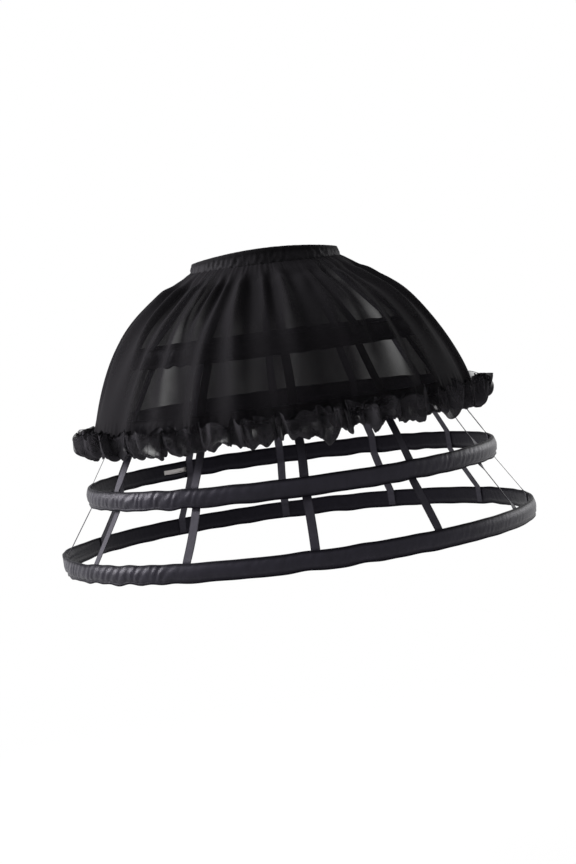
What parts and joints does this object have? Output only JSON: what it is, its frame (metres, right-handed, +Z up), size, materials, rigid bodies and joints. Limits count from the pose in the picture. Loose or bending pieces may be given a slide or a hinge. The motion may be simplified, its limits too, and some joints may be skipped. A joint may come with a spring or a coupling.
{
  "type": "crinoline cage",
  "caption": "Short hoop petticoat: boned hoops hang on tapes from an elastic waistband under a sheer gathered overskirt with a frill at its hem.",
  "frame": {"origin": "centre of the waist opening at the seam under the waistband", "axes": "+Z up along the wearer's waist, -Y to the front, +X to the wearer's left"},
  "size_m": [0.7239, 0.724, 0.45],
  "materials": {
    "band_cloth": "matte shirred cloth",
    "elastic": "woven elastic",
    "sheer_cloth": "sheer chiffon",
    "frill_cloth": "sheer chiffon",
    "casing_cloth": "soft satin weave",
    "tape_cloth": "ribbed tape",
    "spring_steel": "rolled",
    "joiner_steel": "plated"
  },
  "bodies": {
    "root": {"waistband": "band_cloth", "waist_elastic": "elastic", "overskirt": "sheer_cloth", "frill": "frill_cloth", "hoop_1_casing": "casing_cloth", "hoop_2_casing": "casing_cloth", "hoop_3_casing": "casing_cloth", "hoop_4_casing": "casing_cloth", "hoop_1_bone": "spring_steel", "hoop_2_bone": "spring_steel", "hoop_3_bone": "spring_steel", "hoop_4_bone": "spring_steel", "hoop_1_joiner": "joiner_steel", "hoop_2_joiner": "joiner_steel", "hoop_3_joiner": "joiner_steel", "hoop_4_joiner": "joiner_steel", "tape_1": "tape_cloth", "tape_2": "tape_cloth", "tape_3": "tape_cloth", "tape_4": "tape_cloth", "tape_5": "tape_cloth", "tape_6": "tape_cloth", "tape_7": "tape_cloth", "tape_8": "tape_cloth", "tape_9": "tape_cloth", "tape_10": "tape_cloth", "tape_11": "tape_cloth", "tape_12": "tape_cloth"}
  },
  "joints": []
}
